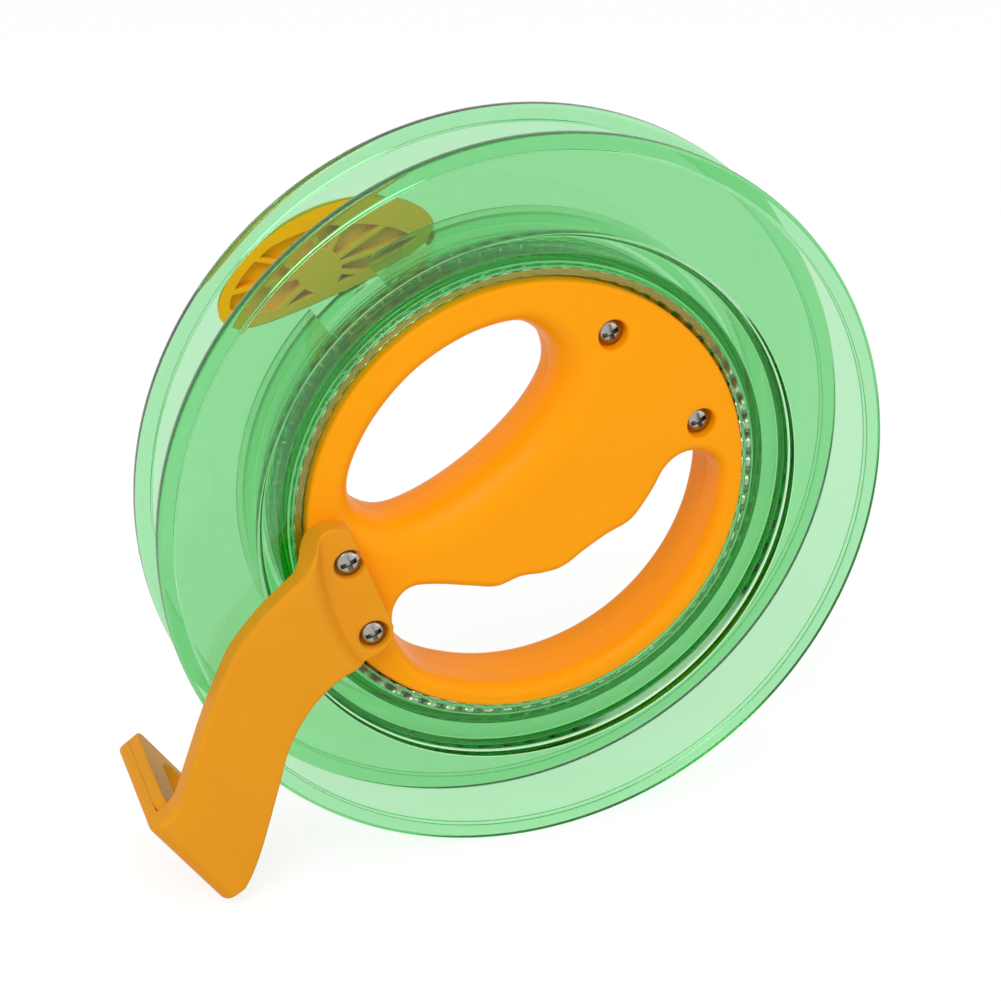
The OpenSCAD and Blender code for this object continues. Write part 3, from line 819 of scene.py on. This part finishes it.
back_near = np.column_stack([near_x + shift, near_y, back_z])
print("the pad and the strap have", len(arm_stations), "stations")

# %% [markdown]
# ### The hook
# The strap bends through a right angle into a plate that reaches back over both rims. The bend is an arc on
# the outside and a tight corner on the inside, so each rail follows its own, and the plate's tip is rounded.

# %% Rails of the hook
HOOK_OUT = 116.95
HOOK_IN = 113.6
HOOK_CORNER = 4
HOOK_ROUND = 1.6
SEAM_ROUND = 0.15
ARM_END_ROUND = 0.5

bend_arc = arc((HOOK_OUT - HOOK_CORNER, STRAP_FRONT - HOOK_CORNER), HOOK_CORNER, 90, 0, 9)
inner_bend = smooth_line([[112.0, STRAP_BACK], [113.2, STRAP_BACK - 0.1], [HOOK_IN, STRAP_BACK - 0.8],
                          [HOOK_IN, 12.8]], 3)[:9]
tip = arc((0, 0), HOOK_CORNER, 0, 80, 6)
plate_end = HOOK_CORNER - STRAP_FRONT
plate_z = np.concatenate([np.linspace(10, plate_end, 8), plate_end - tip[1:, 1]])
plate_in = np.concatenate([np.zeros(8), HOOK_CORNER - tip[1:, 0]])


def hook_rail(bend_xz, x, side_y, inward):
    """One rail of the hook: round the bend, then down the plate, drawn in at its tip."""
    bend = np.column_stack([bend_xz[:, 0], np.full(len(bend_xz), side_y), bend_xz[:, 1]])
    plate = np.column_stack([np.full(len(plate_z), x), side_y + inward * plate_in, plate_z])
    return np.concatenate([bend, plate])


front_far = np.concatenate([front_far, hook_rail(bend_arc, HOOK_OUT, HOOK_LO, 1)])
front_near = np.concatenate([front_near, hook_rail(bend_arc, HOOK_OUT, HOOK_HI, -1)])
back_far = np.concatenate([back_far, hook_rail(inner_bend, HOOK_IN, HOOK_LO, 1)])
back_near = np.concatenate([back_near, hook_rail(inner_bend, HOOK_IN, HOOK_HI, -1)])
hook_rest = len(front_far) - len(arm_stations)
bow = np.concatenate([bow, np.zeros(hook_rest)])
front_round = np.concatenate([front_round, np.full(hook_rest, HOOK_ROUND)])
back_round = np.concatenate([back_round, np.full(hook_rest, SEAM_ROUND)])
arm_bar = bar(front_far, front_near, back_far, back_near, front_round, back_round, ARM_END_ROUND, bow)
guide_arm = make_object("guide_arm_bar", [arm_bar])
print("the hook adds", hook_rest, "stations")

# %% [markdown]
# ### The slot and the screw seats
# The line runs out through a long slot in the hook, and two counterbores in the pad take the screw heads.
# All three are cut as stacks of grown outlines, so their mouths are rounded as a mould leaves them.

# %% Slot and screw seats of the arm
EYE_HALF_W = 6.1
EYE_HALF_L = 17
PAD_COUNTERBORE = 3

eye_mid = (HOOK_LO + HOOK_HI) / 2
eye_straight = EYE_HALF_L - EYE_HALF_W
eye = np.concatenate([arc((eye_mid, eye_straight), EYE_HALF_W, 0, 180, 20),
                      arc((eye_mid, -eye_straight), EYE_HALF_W, 180, 360, 20)])


def eye_cut(stations):
    """The slot as rings along the arm's length: each has a distance from the spin axis and a growth."""
    rings = []
    for x, growth in stations:
        ring = grown(eye, growth)
        rings.append(np.column_stack([np.full(len(ring), x), ring]))
    return loft(rings)


carve(guide_arm, [eye_cut([(HOOK_IN - 1, 0), (HOOK_OUT - 0.9, 0), (HOOK_OUT - 0.3, 0.25), (HOOK_OUT, 0.9),
                           (HOOK_OUT + 1, 2)])])
levels = [(0, PAD_COUNTERBORE)] + MOUTH[::-1] + [(MOUTH[0][0] + 0.6, -0.6)]
for place in ARM_SCREWS:
    carve(guide_arm, [loft([at_height(circle(HEAD_R + HEAD_ROOM + growth, SEAT_AROUND, place), PAD_TOP - drop)
                            for growth, drop in levels])])
dress(guide_arm, arm_orange, "hub", ["guide_arm"])

# %% [markdown]
# ## The guide liner
# A second plate lines the inside of the hook, and a thin dark slit shows where the two meet. It is the same
# kind of bar between four rails, with the same slot through it.

# %% Guide liner
LINER_IN = 110.6
LINER_GAP = 0.3
LINER_ROUND = 0.5
LINER_END_ROUND = 0.4
SLIT = 0.03

liner_top = STRAP_BACK - LINER_GAP - HOOK_CORNER
liner_z = np.concatenate([liner_top + tip[:0:-1, 1], np.linspace(liner_top, plate_end, 8),
                          plate_end - tip[1:, 1]])
liner_inset = np.concatenate([HOOK_CORNER - tip[:0:-1, 0], np.zeros(8), HOOK_CORNER - tip[1:, 0]])
liner_rails = [np.column_stack([np.full(len(liner_z), x), side + inward * liner_inset, liner_z])
               for x in (HOOK_IN - SLIT, LINER_IN) for side, inward in ((HOOK_LO, 1), (HOOK_HI, -1))]
guide_liner = make_object("guide_liner_plate", [bar(*liner_rails, SEAM_ROUND, LINER_ROUND, LINER_END_ROUND)])
carve(guide_liner, [eye_cut([(LINER_IN - 1, 1.6), (LINER_IN, 0.7), (LINER_IN + 0.3, 0.2), (LINER_IN + 0.8, 0),
                             (HOOK_IN + 1, 0)])])
dress(guide_liner, arm_orange, "hub", ["guide_liner"])

# %% [markdown]
# ## The screws
# Four pan-head screws with a cross recess hold the hub's halves and the arm. A lathe makes the shank, the
# flat under the head and its dome in one profile, and two tapered slots at right angles are cut into it.

# %% Screws
SHANK_R = 1.5
HEAD_H = 2.2
EDGE_H = 1.0
TIP_Z = -6
CROSS_TURN = 75
CROSS_HALF_L = 2.1
CROSS_HALF_W = 0.6
CROSS_DEPTH = 1.9


def pan_screw(name, place, seat):
    """A pan head on a plain shank: the head's dome is a quarter of an ellipse on a short upright edge."""
    dome_turn = np.radians(np.linspace(0, 90, 12))
    head = np.column_stack([HEAD_R * np.cos(dome_turn),
                            seat + EDGE_H + (HEAD_H - EDGE_H) * np.sin(dome_turn)])
    profile = np.concatenate([[[0, TIP_Z], [SHANK_R, TIP_Z + 1.5], [SHANK_R, seat], [HEAD_R - 0.2, seat],
                               [HEAD_R, seat + 0.2]], head])
    points, faces = lathe(profile, SEAT_AROUND, closed=False)
    screw = make_object(name, [(points + [*place, 0], faces)])
    for turn in (CROSS_TURN, CROSS_TURN + 90):
        way = np.array([math.cos(math.radians(turn)), math.sin(math.radians(turn))])
        side = np.array([-way[1], way[0]])
        rings = []
        for taper, height in ((0.6, HEAD_H - CROSS_DEPTH), (1.0, HEAD_H - 0.2), (1.2, HEAD_H + 0.6)):
            half_l = CROSS_HALF_L * taper * way
            half_w = CROSS_HALF_W * (0.5 + taper / 2) * side
            outline = np.array([half_l + half_w, half_w - half_l, -half_l - half_w, half_l - half_w]) + place
            rings.append(at_height(outline, seat + height))
        carve(screw, [loft(rings)])
    return screw


arm_seat = PAD_TOP - PAD_COUNTERBORE
screws = [("arm_screw_upper", ARM_SCREWS[0], arm_seat),
          ("arm_screw_lower", ARM_SCREWS[1], arm_seat),
          ("grip_screw_upper", GRIP_SCREWS[0], GRIP_SEAT),
          ("grip_screw_lower", GRIP_SCREWS[1], GRIP_SEAT)]
for name, place, seat in screws:
    dress(pan_screw(name + "_turned", place, seat), screw_steel, "hub", [name])

# %% [markdown]
# ## The balls
# Two rows of steel balls carry the spool. One small sphere, a grid of latitude and longitude, is repeated
# round the row by adding every place to every point at once.

# %% Balls
BALL_R = 2.25
BALL_COUNT = 72


def ball_row(name, height):
    """Spheres round the pitch circle: each has x = r cos b cos a, y = r cos b sin a, z = r sin b."""
    latitude = np.radians(np.linspace(-90, 90, 13))
    profile = np.column_stack([BALL_R * np.cos(latitude), BALL_R * np.sin(latitude)])
    points, faces = lathe(profile, 20, closed=False)
    places = at_height(circle(PITCH_R, BALL_COUNT), height)
    row = (places[:, None] + points[None]).reshape(-1, 3)
    numbers = np.arange(BALL_COUNT)[:, None, None] * len(points) + np.array(faces)[None]
    return make_object(name, [(row, numbers.reshape(-1, 4).tolist())])


for name, height, body in (("balls_front", ROW_Z, "front_balls"), ("balls_rear", -ROW_Z, "rear_balls")):
    dress(ball_row(name + "_row", height), ball_steel, body, [name], crease=80)

# %% [markdown]
# ## Floor, light and camera
# The photograph has a plain white ground. The floor is white for the camera and for what is seen in or
# through the plastic and steel, and it still takes the reel's soft shadow. A large soft lamp from the upper
# left and a weak one from the right light the reel at a plain level, with an even white sky around.

# %% Floor and sky
FLOOR_Z = -0.0903
FLOOR_HALF = 4.0
SKY_LIGHT = 0.62
SHADOW_SHARE = 0.3
PAPER_GLOW = 1.15
WHITE = colour("#ffffff")


def seen_directly(tree):
    """1 for rays from the camera, from a reflection or through clear plastic, and 0 for other light."""
    rays = add_node(tree, "ShaderNodeLightPath").outputs
    either = add_node(tree, "ShaderNodeMath", {0: rays["Is Camera Ray"], 1: rays["Is Glossy Ray"]},
                      operation="MAXIMUM")
    return add_node(tree, "ShaderNodeMath", {0: either.outputs[0], 1: rays["Is Transmission Ray"]},
                    operation="MAXIMUM").outputs[0]


white_floor, tree, output, point = new_material("white_paper_floor")
paper = add_node(tree, "ShaderNodeBsdfDiffuse", {"Color": colour("#efefee")})
glow = add_node(tree, "ShaderNodeEmission", {"Color": WHITE, "Strength": PAPER_GLOW})
share = add_node(tree, "ShaderNodeMath", {0: seen_directly(tree), 1: 1 - SHADOW_SHARE}, operation="MULTIPLY")
both = add_node(tree, "ShaderNodeMixShader", {0: share.outputs[0], 1: paper.outputs[0], 2: glow.outputs[0]})
tree.links.new(both.outputs[0], output.inputs["Surface"])
floor_mesh = bpy.data.meshes.new("floor")
floor_corners = [(-FLOOR_HALF, -FLOOR_HALF, FLOOR_Z), (FLOOR_HALF, -FLOOR_HALF, FLOOR_Z),
                 (FLOOR_HALF, FLOOR_HALF, FLOOR_Z), (-FLOOR_HALF, FLOOR_HALF, FLOOR_Z)]
floor_mesh.from_pydata(floor_corners, [], [(0, 1, 2, 3)])
floor = bpy.data.objects.new("floor", floor_mesh)
floor.data.materials.append(white_floor)
bpy.context.scene.collection.objects.link(floor)

sky = bpy.data.worlds.new("white_sky")
sky.use_nodes = True
tree = sky.node_tree
tree.nodes.clear()
strength = add_node(tree, "ShaderNodeMapRange", {"Value": seen_directly(tree), "To Min": SKY_LIGHT,
                                                 "To Max": 1.0})
background = add_node(tree, "ShaderNodeBackground", {"Color": WHITE, "Strength": strength.outputs[0]})
add_node(tree, "ShaderNodeOutputWorld", {"Surface": background.outputs[0]})
bpy.context.scene.world = sky
print("the floor lies", round(-FLOOR_Z * 1000, 1), "mm below the spin axis")

# %% Lamps


def soft_lamp(name, place, size, power):
    """A square lamp that faces the middle of the reel."""
    lamp = bpy.data.lights.new(name, "AREA")
    lamp.size = size
    lamp.energy = power
    holder = bpy.data.objects.new(name, lamp)
    holder.location = place
    holder.rotation_euler = (-Vector(place)).to_track_quat("-Z", "Y").to_euler()
    bpy.context.scene.collection.objects.link(holder)


soft_lamp("key_lamp", place=(-0.55, -0.75, 1.0), size=0.7, power=7.5)
soft_lamp("fill_lamp", place=(0.9, -0.8, 0.5), size=0.9, power=2.5)
print("lamps:", ", ".join(light.name for light in bpy.data.lights))

# %% [markdown]
# ### The camera
# The camera stands where the photograph was taken from. Its place and its three directions were worked out
# from the outlines of the two flanges. They are set as a matrix, because a track constraint would need an
# empty to look at.

# %% Camera
SENSOR_WIDTH = 36
FOCAL_LENGTH = 83.77
CAMERA_PLACE = (-0.17216, -0.47544, 0.23484)
CAMERA_RIGHT = (0.94292, -0.33305, 0)
CAMERA_UP = (0.14236, 0.40304, 0.90405)
CAMERA_BACK = (-0.30109, -0.85243, 0.42745)

lens = bpy.data.cameras.new("camera")
lens.sensor_width = SENSOR_WIDTH
lens.lens = FOCAL_LENGTH
lens.clip_start = 0.01
camera = bpy.data.objects.new("camera", lens)
turn = Matrix((CAMERA_RIGHT, CAMERA_UP, CAMERA_BACK)).transposed()
camera.matrix_world = Matrix.Translation(CAMERA_PLACE) @ turn.to_4x4()
bpy.context.scene.collection.objects.link(camera)
bpy.context.scene.camera = camera
bpy.context.scene.view_settings.view_transform = "Standard"

# Light turns many times inside the clear flanges before it comes out again
bpy.context.scene.cycles.max_bounces = 40
bpy.context.scene.cycles.transmission_bounces = 40
bpy.context.scene.cycles.glossy_bounces = 12
print("the camera is", round(Vector(CAMERA_PLACE).length, 3), "m from the reel's middle")
